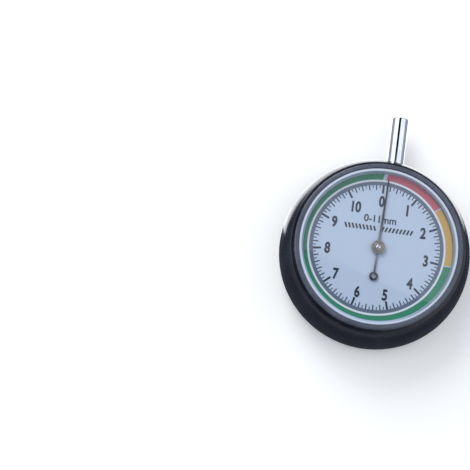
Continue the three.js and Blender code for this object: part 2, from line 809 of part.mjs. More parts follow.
part("pointer_arbor", "hardSteel", pointerArbor());
part("hairspring_collet", "brass", bush(UPPER_BUSH, HAIR_Z - 0.4, HAIR_Z + HAIR_HEIGHT));
part("hairspring", "springSteel", hairspring());
part("hairspring_stud", "brass", rod(0.35, HAIR_Z - 0.1, BRIDGE_Z - RUNNING, [-HAIR_OUTER - 0.5, 0]));
part("pointer_hub", "hardSteel", pointerHub());
const needle = part("pointer_needle", "needleBlack", pointerNeedle());
needle.position.z = NEEDLE_Z;
needle.rotation.z = -THREE.MathUtils.degToRad(NEEDLE_PAST_ZERO);

part("stem_bush", "chrome", stemBush(), stem);
part("measuring_sleeve", "chrome", measuringSleeve(), stem);
part("measuring_pin", "hardSteel", measuringPin(), stem);
part("pin_anchor", "brass", pinAnchor());
screw(
  "pin_anchor_screw",
  "hardSteel",
  { head: 0.65, headHeight: 0.4, shank: 0.4, length: 5.4 },
  ANCHOR_SCREW,
  ANCHOR_HIGH[2] + RUNNING,
  false,
);
screw(
  "pin_clamp_screw",
  "hardSteel",
  { head: 0.6, headHeight: 0.4, shank: 0.35, length: 0.8 },
  CLAMP_SCREW,
  ANCHOR_HIGH[2] + RUNNING,
  false,
);

part("rack", "hardSteel", rack());
part("rack_carriage", "brass", rackCarriage());
part(
  "rack_rivet",
  "hardSteel",
  rod(RIVET.radius, RACK_Z - SEAT, CARRIAGE_TOP + SEAT, [RIVET.x, RIVET.y]),
);
part("rack_guide", "brass", rackGuide());
GUIDE_SCREWS.forEach((at, i) =>
  screw(
    `rack_guide_screw_${i + 1}`,
    "hardSteel",
    { head: 0.65, headHeight: 0.3, shank: 0.4, length: 4.2 },
    at,
    GUIDE_HIGH[2] + RUNNING,
    false,
  ),
);
part(
  "spring_post_fixed",
  "hardSteel",
  rod(SPRING_POST, PLATE_TOP + RUNNING, SPRING_POST_TOP, [SPRING_X, SPRING_FIXED_Y]),
);
part(
  "spring_post_moving",
  "hardSteel",
  rod(SPRING_POST, RACK_Z - SEAT, SPRING_POST_TOP, [SPRING_X, SPRING_MOVING_Y]),
);
part("return_spring", "springSteel", returnSpring());

export default gauge;
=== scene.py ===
# %% [markdown]
# # A dial tread depth gauge
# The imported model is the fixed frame: it has the true size of every part and says which body each one
# moves with. This script dresses it. It makes a finer surface for each piece that shows, gives the inner
# works their metals, and sets up a small studio with a floor, soft lights and a camera.

import json
import math

import bmesh
import bpy
import numpy as np
from mathutils import Matrix, Vector


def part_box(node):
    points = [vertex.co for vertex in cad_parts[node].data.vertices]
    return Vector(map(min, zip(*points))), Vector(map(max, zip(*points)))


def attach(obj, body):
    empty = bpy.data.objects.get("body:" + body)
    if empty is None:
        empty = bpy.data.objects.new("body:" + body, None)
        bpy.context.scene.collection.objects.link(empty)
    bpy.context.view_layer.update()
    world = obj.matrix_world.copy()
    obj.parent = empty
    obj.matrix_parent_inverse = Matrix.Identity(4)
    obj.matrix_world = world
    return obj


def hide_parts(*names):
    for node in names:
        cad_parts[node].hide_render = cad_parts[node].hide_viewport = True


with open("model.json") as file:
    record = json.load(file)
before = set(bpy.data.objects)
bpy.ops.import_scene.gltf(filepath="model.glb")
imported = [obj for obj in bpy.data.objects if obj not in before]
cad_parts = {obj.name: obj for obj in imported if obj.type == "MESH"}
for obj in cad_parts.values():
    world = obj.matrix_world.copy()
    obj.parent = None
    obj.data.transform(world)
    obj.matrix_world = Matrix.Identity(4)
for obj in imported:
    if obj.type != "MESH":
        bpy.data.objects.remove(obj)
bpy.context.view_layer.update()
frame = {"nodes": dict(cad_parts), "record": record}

# %% [markdown]
# Shapes below are thought out in millimetres, as on a workshop drawing, and turned into metres once, when
# they are put into a mesh. The places come from the frame's own boxes, so nothing has to be fitted.

# %% Places taken from the frame, in millimetres
MM = 0.001


def low(node):
    """The lowest corner of a part of the frame, in millimetres."""
    return np.array(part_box(node)[0]) / MM


def high(node):
    """The highest corner of a part of the frame, in millimetres."""
    return np.array(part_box(node)[1]) / MM


CASE_RADIUS = high("case_body")[0]
DIAL_TOP = high("dial_plate")[2]
DIAL_RADIUS = high("dial_plate")[0]
BEZEL_TOP = high("bezel_ring")[2]
BEZEL_RADIUS = high("bezel_ring")[0]
LENS_TOP = high("lens")[2]
SLEEVE_TIP = high("measuring_sleeve")[1]
SLEEVE_FOOT = low("measuring_sleeve")[1]
STEM_X, _, STEM_Z = (low("measuring_sleeve") + high("measuring_sleeve")) / 2
SLEEVE_RADIUS = high("measuring_sleeve")[0] - STEM_X
print(f"case {2 * CASE_RADIUS:.1f} mm across, stem axis at x {STEM_X:.2f}, z {STEM_Z:.2f}")

# %% [markdown]
# The camera stands almost square to the dial, just under half a metre away, with a long lens. It is given by
# how the gauge lies in the view: how far the dial's normal leans up and to the right, how far the stem is
# turned clockwise, and how far the dial lies to the right of the middle. The three directions of the gauge
# in the view make a rotation, and its inverse turns the camera.

# %% Camera
VIEW_DISTANCE = 450.0
LENS = 146.83
LEAN_UP, LEAN_RIGHT, TURN = math.radians(11.8), math.radians(1.8), math.radians(7.75)
DIAL_IN_VIEW = Vector((33.57, -2.96, -VIEW_DISTANCE))

normal = Vector((math.sin(LEAN_RIGHT), math.sin(LEAN_UP), 0))
normal.z = math.sqrt(1 - normal.length_squared)
along = Vector((math.sin(TURN), math.cos(TURN), 0))
along.z = -along.dot(normal) / normal.z
along.normalize()
gauge_in_view = Matrix((along.cross(normal), along, normal)).transposed()

camera = bpy.data.objects.new("camera", bpy.data.cameras.new("camera"))
bpy.context.scene.collection.objects.link(camera)
bpy.context.scene.camera = camera
turned_back = gauge_in_view.transposed()
stand = Vector((0, 0, DIAL_TOP)) - turned_back @ DIAL_IN_VIEW
camera.matrix_world = Matrix.Translation(stand * MM) @ turned_back.to_4x4()
camera.data.lens = LENS
camera.data.clip_start = 0.01
print("camera stands at", [round(c, 1) for c in stand], "mm")

# %% [markdown]
# A few helpers make every new piece. A surface is a grid of points: `grid_faces` joins neighbours to
# four-sided faces, and can close the grid on itself along either side. `turned` carries a profile of
# radius and height round an axis, the way a lathe would, and `arc` and `bend` draw the rounded parts of
# such a profile. `together` joins shapes. `piece` puts the points into a mesh, merges the
# doubles that a pole or a seam leaves, turns all faces outwards and marks the sharp edges.

# %% Mesh helpers
SHARP = math.radians(32)


def grid_faces(rows, columns, close_rows=False, close_columns=False):
    """Faces of a grid of points stored row by row: point (i, j) is number i * columns + j."""
    i = np.arange(rows if close_rows else rows - 1)[:, None]
    j = np.arange(columns if close_columns else columns - 1)[None, :]
    down, right = (i + 1) % rows, (j + 1) % columns
    corners = [i * columns + j, i * columns + right, down * columns + right, down * columns + j]
    return np.stack(np.broadcast_arrays(*corners), -1).reshape(-1, 4)


def turned(profile, steps, closed=True):
    """Point (i, a) = (radius_i cos a, radius_i sin a, height_i), with a going once round."""
    radius, height = np.array(profile, float).T
    angle = np.linspace(0, 2 * np.pi, steps, endpoint=False)
    points = np.stack(
        [np.outer(radius, np.cos(angle)), np.outer(radius, np.sin(angle)), height[:, None] + 0 * angle], -1
    )
    return points.reshape(-1, 3), grid_faces(len(profile), steps, closed, True)


def arc(centre, radius, start, stop, steps):
    """Points centre + radius (cos a, sin a), from the start angle to the stop angle in degrees."""
    angle = np.radians(np.linspace(start, stop, steps + 1))
    return [(centre[0] + radius * c, centre[1] + radius * s) for c, s in zip(np.cos(angle), np.sin(angle))]


def bend(start, towards, stop, steps):
    """A curve (1-t)^2 start + 2t(1-t) towards + t^2 stop."""
    t = np.linspace(0, 1, steps + 1)[:, None]
    return [tuple(p) for p in (1 - t) ** 2 * start + 2 * t * (1 - t) * towards + t**2 * stop]


def together(*shapes):
    """Several (points, faces) pairs as one."""
    starts = np.cumsum([0] + [len(points) for points, _ in shapes])
    points = np.concatenate([points for points, _ in shapes])
    faces = [[start + corner for corner in face] for (_, fs), start in zip(shapes, starts) for face in fs]
    return points, faces


def piece(name, shape, body, finish, replaces=()):
    """Makes a finished object from points in millimetres and faces, and ties it to its body and slot."""
    points, faces = shape
    mesh = bpy.data.meshes.new(name)
    mesh.from_pydata(np.asarray(points, float) * MM, [], faces)
    work = bmesh.new()
    work.from_mesh(mesh)
    bmesh.ops.remove_doubles(work, verts=work.verts, dist=1e-7)
    bmesh.ops.dissolve_degenerate(work, edges=work.edges, dist=1e-8)
    bmesh.ops.recalc_face_normals(work, faces=work.faces)
    work.to_mesh(mesh)
    work.free()
    mesh.shade_smooth()
    mesh.set_sharp_from_angle(angle=SHARP)
    mesh.materials.append(finish)
    made = bpy.data.objects.new(name, mesh)
    bpy.context.scene.collection.objects.link(made)
    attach(made, body)
    if replaces:
        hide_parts(*replaces)
    print(f"{name}: {len(mesh.polygons)} faces on {body}")


# %% [markdown]
# Finishes are node materials. Two small classes keep them readable. `Wire` is an output socket that can
# be added, multiplied and so on, each operation adding its Math node. `Recipe` is a material being
# written: its one method `node` adds any node, sets its settings first and then its sockets.

# %% Shader helpers
class Wire:
    """An output socket of a node in a recipe."""

    def __init__(self, recipe, socket):
        self.recipe, self.socket = recipe, socket

    def math(self, operation, first, second):
        return self.recipe.node("ShaderNodeMath", {"operation": operation}, {0: first, 1: second})

    def __add__(self, other):
        return self.math("ADD", self, other)

    def __sub__(self, other):
        return self.math("SUBTRACT", self, other)

    def __rsub__(self, other):
        return self.math("SUBTRACT", other, self)

    def __mul__(self, other):
        return self.math("MULTIPLY", self, other)

    __radd__, __rmul__ = __add__, __mul__


class Recipe:
    """A material, or a world, being written node by node."""

    def __init__(self, name, kind=bpy.data.materials):
        self.material = kind.new(name)
        self.material.use_nodes = True
        self.tree = self.material.node_tree
        self.tree.nodes.clear()

    def node(self, kind, settings=None, sockets=None, output=0):
        """Adds a node, sets its settings, fills its sockets with values or wires, and gives an output."""
        made = self.tree.nodes.new(kind)
        for name, value in (settings or {}).items():
            setattr(made, name, value)
        for name, value in (sockets or {}).items():
            if isinstance(value, Wire):
                self.tree.links.new(value.socket, made.inputs[name])
            else:
                made.inputs[name].default_value = value
        return Wire(self, made.outputs[output]) if made.outputs else None

    def place(self, scale=(1, 1, 1), turn=(0, 0, 0)):
        """Object coordinates, stretched and turned."""
        at = self.node("ShaderNodeTexCoord", output="Object")
        return self.node("ShaderNodeMapping", {}, {"Vector": at, "Rotation": turn, "Scale": scale})

    def noise(self, scale, detail, rough, at=None):
        """Cloudy values about 0.5, with scale patches to the metre."""
        sockets = {"Vector": at or self.place(), "Scale": scale, "Detail": detail, "Roughness": rough}
        return self.node("ShaderNodeTexNoise", {}, sockets)

    def blend(self, mask, first, second):
        """The first colour where the mask is 0, the second where it is 1."""
        sockets = {0: mask, 6: (*first, 1) if isinstance(first, tuple) else first}
        sockets[7] = (*second, 1) if isinstance(second, tuple) else second
        return self.node("ShaderNodeMix", {"data_type": "RGBA"}, sockets, output=2)

    def between(self, value, start, stop):
        """0 below start, 1 above stop, and a straight ramp between."""
        sockets = {"Value": value, "From Min": start, "From Max": stop}
        return self.node("ShaderNodeMapRange", {}, sockets)

    def bump(self, height, strength, distance):
        """A normal tilted by a height, in units of distance metres."""
        sockets = {"Height": height, "Strength": strength, "Distance": distance}
        return self.node("ShaderNodeBump", {}, sockets)

    def surface(self, **sockets):
        """Ends the recipe with a Principled surface and gives the material."""
        names = {key.replace("_", " "): value for key, value in sockets.items()}
        shader = self.node("ShaderNodeBsdfPrincipled", {}, names)
        return self.done(shader)

    def done(self, shader, ending="ShaderNodeOutputMaterial"):
        """Ends the recipe with any shader and gives the material."""
        self.node(ending, {}, {"Surface": shader})
        return self.material


# %% [markdown]
# The case is moulded in glossy black plastic. Black plastic is almost only reflection, so its looks come
# from how smooth it is: a faint ripple left by the mould, a haze of handling marks that dulls the gloss in
# patches, and hairline scratches. The colour itself hardly changes. The bezel ring is the same plastic
# with a finer, satin surface, which makes it look slate grey beside the case.

# %% Black plastics
def black_plastic(name, colour, gloss, haze, ripple, scratches):
    """Roughness = gloss + haze where handled + scratches on the hairlines, over a rippled surface."""
    recipe = Recipe(name)
    clouds = recipe.noise(150, 4, 0.6)
    fine = recipe.noise(2200, 2, 0.5)
    hairlines = recipe.noise(260, 2, 0.7, at=recipe.place((1, 1, 14), (0.15, 0.1, 0)))
    hairlines = recipe.between(hairlines, 0.62, 0.7)
    worn = recipe.between(clouds, 0.35, 0.75)
    lighter = tuple(1.7 * c + 0.003 for c in colour)
    return recipe.surface(
        Base_Color=recipe.blend(worn, colour, lighter),
        Roughness=gloss + haze * worn + scratches * hairlines,
        Normal=recipe.bump(fine + 2.2 * clouds, ripple, 0.00002),
        IOR=1.46,
    )


case_black = black_plastic("case_black", (0.011, 0.013, 0.022), 0.13, 0.12, 0.25, 0.06)
lip_black = black_plastic("lip_black", (0.062, 0.072, 0.105), 0.22, 0.1, 0.2, 0.05)
cover_black = black_plastic("cover_black", (0.014, 0.015, 0.018), 0.42, 0.12, 0.5, 0.08)

# %% [markdown]
# The case is a ring with one closed outline: out along the flat back, round the widest part, up the
# leaning wall, over the shoulder and the spigot, and back down inside. The stem leaves through a round
# hole in the wall. To give it a clean edge, the grid near the hole is pulled from squares to circles: the
# square loops of points round the hole's middle move outwards from a true circle at the hole's edge to the
# plain grid at the patch's edge. Faces inside the hole are left away, and a short tube joins the hole in
# the outer wall to the one in the inner wall.

# %% Outline of the case
CASE_BACK = 20.6
WIDEST_Z = 3.0
SHOULDER = (20.45, 12.5)
SHOULDER_EDGE = (20.72, 12.22)
CAVITY, CAVITY_BASE, CAVITY_TOP = 20.4, 2.4, 10.3
SPIGOT_OUT, SPIGOT_IN, SPIGOT_TOP = 19.3, 18.8, 13.05
HOLE = 2.8
PATCH = 3.75  # half the side of the square patch round the hole
CELLS = 10  # grid cells from the middle of the patch to its edge
HOLE_CELLS = 5

outside = np.array(
    bend((CASE_BACK, 0.0), (CASE_RADIUS - 0.05, 0.25), (CASE_RADIUS, WIDEST_Z), 14)
    + bend((CASE_RADIUS, WIDEST_Z), (22.6, 8.6), SHOULDER_EDGE, 40)[1:]
)
patch_steps = PATCH * np.linspace(-1, 1, 2 * CELLS + 1)
patch_heights = STEM_Z + patch_steps


def wall_radius(height):
    """Radius of the outer wall at a height, read off the outline."""
    return np.interp(height, outside[:, 1], outside[:, 0])


below = outside[outside[:, 1] < patch_heights[0] - 0.1]
above = outside[outside[:, 1] > patch_heights[-1] + 0.1]
wall = np.stack([wall_radius(patch_heights), patch_heights], 1)
shoulder = arc((SHOULDER[0] - 0.02, SHOULDER[1] - 0.28), 0.28, 20, 90, 5)
inside = [(SPIGOT_OUT, SHOULDER[1]), (SPIGOT_OUT, SPIGOT_TOP), (SPIGOT_IN, SPIGOT_TOP), (SPIGOT_IN, 11.5)]
inside += [(17.8, 11.5), (17.8, CAVITY_TOP), (CAVITY, CAVITY_TOP)]
inner_wall = np.stack([np.full(len(patch_heights), CAVITY), patch_heights[::-1]], 1)
last = [(CAVITY, CAVITY_BASE), (19.5, 1.5), (19.5, 0.0)]
outline = np.concatenate([below, wall, above, shoulder, inside, inner_wall, last])
outer_row = len(below) + CELLS
inner_row = len(outline) - len(last) - 1 - CELLS
print("case outline:", len(outline), "points, hole rows", outer_row, inner_row)

# %% Case wall with its hole
PLAIN_COLUMNS = 220


def case_shell():
    """The outline turned round the axis, point (i, a) = (r_i sin a, r_i cos a, z_i), with the square
    loops max(|i|, |j|) = s round the hole moved to (1 - t) circle + t square, t rising from 0 to 1."""
    patch_angles = np.arcsin((STEM_X + patch_steps) / wall_radius(STEM_Z))
    gap = 2 * np.pi + patch_angles[0] - patch_angles[-1]
    plain = patch_angles[-1] + gap * np.arange(1, PLAIN_COLUMNS) / PLAIN_COLUMNS
    angles = np.concatenate([patch_angles, plain])
    columns = len(angles)
    radius = np.repeat(outline[:, :1], columns, 1)
    height = np.repeat(outline[:, 1:], columns, 1)
    side = radius * np.sin(angles)
    depth = radius * np.cos(angles)
    count = np.arange(-CELLS, CELLS + 1)
    j, i = np.meshgrid(count, count)
    loop = np.maximum(np.maximum(abs(i), abs(j)) / CELLS, 1e-6)
    share = np.clip((loop - HOLE_CELLS / CELLS) / (1 - HOLE_CELLS / CELLS), 0, 1)
    reach = np.maximum(np.hypot(i, j), 1e-6)
    for row, up, wall_here in ((outer_row, 1, wall_radius(STEM_Z)), (inner_row, -1, CAVITY)):
        rows, spots = slice(row - CELLS, row + CELLS + 1), slice(0, 2 * CELLS + 1)
        x_edge = np.interp(j / loop, count, wall_here * np.sin(patch_angles)) - STEM_X
        x = STEM_X + (1 - share) * HOLE * j / reach + share * x_edge
        z = STEM_Z + up * ((1 - share) * HOLE * i / reach + share * PATCH * i / (loop * CELLS))
        wall_now = wall_radius(z) if row == outer_row else CAVITY
        side[rows, spots], height[rows, spots] = x, z
        depth[rows, spots] = np.sqrt(wall_now**2 - x**2)
    points = np.stack([side, depth, height], -1).reshape(-1, 3)
    rows_of = np.arange(len(outline))[:, None]
    columns_of = np.arange(columns)[None, :]
    in_hole = np.zeros((len(outline), columns), bool)
    for row in (outer_row, inner_row):
        near = (rows_of >= row - HOLE_CELLS) & (rows_of < row + HOLE_CELLS)
        in_hole |= near & (columns_of >= CELLS - HOLE_CELLS) & (columns_of < CELLS + HOLE_CELLS)
    faces = grid_faces(len(outline), columns, True, True)[~in_hole.reshape(-1)]
    run, still = np.arange(-HOLE_CELLS, HOLE_CELLS), np.full(2 * HOLE_CELLS, HOLE_CELLS)
    across = np.concatenate([run, still, -run, -still])
    up = np.concatenate([-still, run, still, -run])
    outer = (outer_row + up) * columns + CELLS + across
    inner = (inner_row - up) * columns + CELLS + across
    tube = np.stack([outer, np.roll(outer, -1), np.roll(inner, -1), inner], -1)
    return points, np.concatenate([faces, tube])


def moved(shape, x, y):
    """A shape shifted sideways."""
    points, faces = shape
    return points + np.array([x, y, 0.0]), faces


def post(radius, hole, foot, top, degrees, at):
    """A blind boss that hangs from the case: a ring profile with a closed top, turned and moved."""
    profile = [(0, top), (radius, top), (radius, foot), (hole, foot), (hole, top - 1.2), (0, top - 1.2)]
    away = math.radians(degrees)
    return moved(turned(profile, 40, closed=False), at * math.cos(away), at * math.sin(away))


bosses = [post(2.0, 0.95, 1.3, 6.0, degrees, 17.4) for degrees in (45, 135, 225, 315)]
posts = [post(1.9, 0.8, 3.3, 10.3, degrees, 18.1) for degrees in (0, 180, 250)]
whole_case = together(case_shell(), *bosses, *posts)
piece("case_shell", whole_case, "case", case_black, ["case_body"])

# %% [markdown]
# The bezel is a thin ring that snaps over the case's spigot and holds the lens. Its top is a narrow flat
# with a rounded edge on both sides; the outer round is what catches the light as a fine bright line.

# %% Bezel ring
BEZEL_IN = 18.8
BEZEL_BASE = low("bezel_ring")[2]
ROUND_OUT, ROUND_IN = 0.4, 0.1

bezel_outline = [(BEZEL_IN, 13.55), (SPIGOT_OUT + 0.1, 13.55), (SPIGOT_OUT + 0.1, BEZEL_BASE)]
bezel_outline += [(BEZEL_RADIUS - 0.08, BEZEL_BASE), (BEZEL_RADIUS, BEZEL_BASE + 0.08)]
bezel_outline += arc((BEZEL_RADIUS - ROUND_OUT, BEZEL_TOP - ROUND_OUT), ROUND_OUT, 0, 90, 8)
bezel_outline += arc((BEZEL_IN + ROUND_IN, BEZEL_TOP - 0.06 - ROUND_IN), ROUND_IN, 80, 180, 8)
piece("bezel_lip", turned(bezel_outline, 256), "case", lip_black, ["bezel_ring"])

# %% [markdown]
# The lens is clear acrylic: a flat disc with a flange that the bezel holds, and a skirt that stands on the
# dial. The skirt and the disc's cut edge are left frosted, so they gather light and look like a pale ring.
# A thin clear wall needs no bending of the light, so its shader is only what the eye notices: it
# lets light straight through, and mirrors the room the more the flatter it is looked at. The mirror is
# only on the faces that are met from outside, or light inside the disc would never find its way out.

# %% Clear lens
def clear_acrylic():
    """Clear light where the Fresnel share is 0 and a mirror where it is 1, on outer faces only."""
    recipe = Recipe("clear_acrylic")
    from_inside = recipe.node("ShaderNodeNewGeometry", output="Backfacing")
    edge = recipe.node("ShaderNodeFresnel", {}, {"IOR": 1.49}) * (1 - from_inside)
    smears = recipe.between(recipe.noise(90, 4, 0.6), 0.45, 0.8)
    through = recipe.node("ShaderNodeBsdfTransparent", {}, {"Color": (0.965, 0.975, 0.985, 1)})
    mirror = recipe.node("ShaderNodeBsdfAnisotropic", {}, {"Roughness": 0.02 + 0.05 * smears})
    return recipe.done(recipe.node("ShaderNodeMixShader", {}, {0: edge, 1: through, 2: mirror}))


LENS_RADIUS, SKIRT_IN = 18.65, 18.1
LENS_BASE = LENS_TOP - 0.8
lens_outline = [(0, LENS_BASE), (SKIRT_IN - 0.04, LENS_BASE), (SKIRT_IN - 0.04, LENS_TOP - 0.05)]
lens_outline += [(SKIRT_IN - 0.1, LENS_TOP), (0, LENS_TOP)]
lens_shape = turned(lens_outline, 192, closed=False)
piece("lens_crystal", lens_shape, "case", clear_acrylic(), ["lens"])

# %% [markdown]
# The skirt is a plain ring with a flange. Its finish comes with the enamels below, because a frosted
# edge scatters light as a pale coat does.

# %% Outline of the lens skirt
skirt_outline = [(SKIRT_IN, DIAL_TOP + 0.1), (LENS_RADIUS, DIAL_TOP + 0.1), (LENS_RADIUS, LENS_BASE)]
skirt_outline += [(19.2, LENS_BASE), (19.2, 13.45), (LENS_RADIUS, 13.45)]
skirt_outline += [*arc((LENS_RADIUS - 0.12, LENS_TOP - 0.12), 0.12, 0, 90, 4), (SKIRT_IN, LENS_TOP)]

# %% [markdown]
# The dial is a thin metal disc enamelled in a cool white. Enamel is very even, so the recipe only adds a
# slight mottle in colour and gloss and the faint orange peel of a sprayed coat.

# %% Enamel and printing inks
def coat(name, colour, spread, gloss, peel):
    """A sprayed or printed coat: the colour with a faint mottle, and a fine orange peel."""
    recipe = Recipe(name)
    mottle = recipe.noise(420, 4, 0.6)
    grain = recipe.noise(5200, 2, 0.5)
    darker = tuple(c * (1 - spread) for c in colour)
    return recipe.surface(
        Base_Color=recipe.blend(mottle, darker, tuple(min(1, c * (1 + spread)) for c in colour)),
        Roughness=gloss + 0.12 * mottle,
        Normal=recipe.bump(grain, peel, 0.00001),
        IOR=1.45,
    )


enamel = coat("dial_enamel", (0.515, 0.605, 0.76), 0.025, 0.42, 0.25)
ink = coat("scale_ink", (0.022, 0.033, 0.062), 0.25, 0.4, 0.3)
slate_ink = coat("track_ink", (0.125, 0.16, 0.235), 0.08, 0.4, 0.3)
line_white = coat("line_white", (0.74, 0.78, 0.83), 0.03, 0.4, 0.3)
# painted shadow: the grey for a thin ring that stands in for the shade the lens skirt casts on the dial's
# rim
skirt_shadow_grey = coat("skirt_shadow_grey", (0.27, 0.32, 0.38), 0.06, 0.4, 0.3)
safe_green = coat("safe_green", (0.035, 0.25, 0.14), 0.10, 0.36, 0.3)
worn_amber = coat("worn_amber", (0.60, 0.365, 0.11), 0.07, 0.36, 0.3)
limit_red = coat("limit_red", (0.57, 0.125, 0.17), 0.07, 0.36, 0.3)
frosted = coat("frosted_edge", (0.56, 0.64, 0.77), 0.04, 0.3, 0.4)
piece("lens_skirt", turned(skirt_outline, 192), "case", frosted)

# %% Dial plate
DIAL_HOLE = 1.3
DIAL_BASE = DIAL_TOP - 0.4
FOOT_RADIUS, FOOT_END, FOOT_AT = 0.6, 10.2, 7.5

dial_outline = [(DIAL_HOLE, DIAL_BASE), (DIAL_RADIUS, DIAL_BASE)]
dial_outline += [*arc((DIAL_RADIUS - 0.08, DIAL_TOP - 0.08), 0.08, 0, 90, 3)]
dial_outline += [(16.0, DIAL_TOP), (8.0, DIAL_TOP), (DIAL_HOLE + 0.05, DIAL_TOP)]
dial_outline += [(DIAL_HOLE, DIAL_TOP - 0.05)]
foot_outline = [(0, FOOT_END), (FOOT_RADIUS, FOOT_END), (FOOT_RADIUS, DIAL_BASE), (0, DIAL_BASE)]
feet = [moved(turned(foot_outline, 32, closed=False), 0, y) for y in (FOOT_AT, -FOOT_AT)]
whole_dial = together(turned(dial_outline, 192), *feet)
piece("dial_face", whole_dial, "case", enamel, ["dial_plate"])

# %% [markdown]
# The print is real, very thin relief: each colour is its own piece, a few hundredths of a millimetre
# high, so it stays sharp from any distance. The thin grey ring at the dial's rim is made the same way but
# is no print: it is a painted shadow of the lens skirt. One turn of the pointer is 11 mm, so a reading in
# millimetres is an angle. The print sits a hair off the middle of the case, but the coloured ring ends
# where the lens's skirt covers it, so its outer edge follows the case.

# %% Places on the printed dial
FULL_TURN = 11.0  # millimetres of tread in one turn
PRINT_SHIFT = np.array([-0.38, 0.05])
ON_CASE = np.array([0.05, 0.25])
INK = 0.03
SUNK = 0.02


def at_reading(reading, radius):
    """The place on the drawn dial at a reading in millimetres: radius (sin, cos) of its angle."""
    angle = 2 * np.pi * np.asarray(reading, float) / FULL_TURN
    return np.stack([radius * np.sin(angle), radius * np.cos(angle)], -1)


def bars(start, stop, width):
    """Boxes from each start to each stop: corners at both ends, half a width to either side."""
    start, stop = np.asarray(start, float), np.asarray(stop, float)
    along_bar = (stop - start) / np.linalg.norm(stop - start, axis=1)[:, None]
    side = along_bar[:, ::-1] * [-1, 1] * np.broadcast_to(width, len(start))[:, None] / 2
    flat = np.stack([start - side, start + side, stop + side, stop - side], 1)
    low_part = np.concatenate([flat, np.full((*flat.shape[:2], 1), DIAL_TOP - SUNK)], -1)
    high_part = np.concatenate([flat, np.full((*flat.shape[:2], 1), DIAL_TOP + INK)], -1)
    points = np.concatenate([low_part, high_part], 1).reshape(-1, 3)
    box_faces = [(0, 1, 2, 3), (7, 6, 5, 4), (0, 4, 5, 1), (1, 5, 6, 2), (2, 6, 7, 3), (3, 7, 4, 0)]
    faces = np.array(box_faces)[None] + 8 * np.arange(len(start))[:, None, None]
    return points + [*PRINT_SHIFT, 0], faces.reshape(-1, 4)


def band(inner, outer, first=0.0, last=FULL_TURN, top=INK, edge_shift=PRINT_SHIFT):
    """A flat ring or part of one: a small closed section carried round from one reading to another.
    The inner edge is shifted as the print is, the outer edge by edge_shift."""
    whole = last - first >= FULL_TURN
    steps = max(8, int(240 * (last - first) / FULL_TURN))
    readings = np.linspace(first, last, steps + 1)[: steps if whole else None]
    radii = np.array([inner, outer, outer, inner])
    heights = np.array([DIAL_TOP - SUNK, DIAL_TOP - SUNK, DIAL_TOP + top, DIAL_TOP + top])
    flat = at_reading(readings[:, None], radii[None, :])
    flat += np.array([PRINT_SHIFT, edge_shift, edge_shift, PRINT_SHIFT])
    points = np.concatenate([flat, np.broadcast_to(heights[None, :, None], (*flat.shape[:2], 1))], -1)
    faces = grid_faces(len(readings), 4, whole, True).tolist()
    if not whole:
        end = 4 * (len(readings) - 1)
        faces += [[0, 1, 2, 3], [end + 3, end + 2, end + 1, end]]
    return points.reshape(-1, 3), faces


# %% Ticks, rings and coloured bands
TICK_OUT, TRACK_OUT = 15.05, 15.83
tenths = np.arange(110)
is_number = tenths % 10 == 0
tick_in = np.where(is_number, 13.05, np.where(tenths % 2 == 0, 13.75, 14.25))
tick_width = np.where(is_number, 0.48, np.where(tenths % 2 == 0, 0.26, 0.2))
tick_shape = bars(at_reading(tenths / 10, tick_in), at_reading(tenths / 10, TICK_OUT), tick_width)
piece("print_ticks", tick_shape, "case", ink)
piece("print_track", band(TICK_OUT - 0.08, TRACK_OUT), "case", slate_ink)
piece("print_white_line", band(TRACK_OUT, 16.27, top=INK - 0.01), "case", line_white)
# painted shadow: a thin grey ring just inside the skirt, standing in for the shade the lens skirt casts on
# the dial
piece("painted_skirt_shadow_line", band(17.97, 18.09, edge_shift=ON_CASE), "case", skirt_shadow_grey)

BAND_IN, BAND_OUT = 16.33, 17.65
RED_END, AMBER_END, GAP, ZERO_GAP = 1.55, 3.0, 0.014, 0.045
red = band(BAND_IN, BAND_OUT, ZERO_GAP, RED_END - GAP, edge_shift=ON_CASE)
amber = band(BAND_IN, BAND_OUT, RED_END + GAP, AMBER_END - GAP, edge_shift=ON_CASE)
green = band(BAND_IN, BAND_OUT, AMBER_END + GAP, FULL_TURN - ZERO_GAP, edge_shift=ON_CASE)
piece("print_limit_band", red, "case", limit_red)
piece("print_worn_band", amber, "case", worn_amber)
piece("print_safe_band", green, "case", safe_green)

# %% [markdown]
# The numbers come from Blender's own letter shapes, narrowed and made bolder. A text object is turned
# into a mesh first, and only then scaled, placed and given its thickness, so that the finished piece has
# its place in its points like all others.

# %% Numbers
def lettering(text, tall, middle, squeeze, weight):
    """Letter shapes scaled to a height, squeezed sideways, and centred on a place on the drawn dial."""
    curve = bpy.data.curves.new("lettering", "FONT")
    curve.body, curve.offset, curve.extrude, curve.resolution_u = text, weight, 0.01, 6
    holder = bpy.data.objects.new("lettering", curve)
    bpy.context.scene.collection.objects.link(holder)
    mesh = bpy.data.meshes.new_from_object(holder.evaluated_get(bpy.context.evaluated_depsgraph_get()))
    points = np.zeros(len(mesh.vertices) * 3)
    mesh.vertices.foreach_get("co", points)
    points = points.reshape(-1, 3)
    faces = [tuple(face.vertices) for face in mesh.polygons]
    size = points.max(0) - points.min(0)
    points[:, :2] -= (points.max(0) + points.min(0))[:2] / 2
    points[:, :2] *= tall / size[1] * np.array([squeeze, 1])
    points[:, :2] += middle + PRINT_SHIFT
    points[:, 2] = DIAL_TOP + np.where(points[:, 2] > 0, INK, -SUNK)
    bpy.data.objects.remove(holder)
    bpy.data.curves.remove(curve)
    bpy.data.meshes.remove(mesh)
    return points, faces


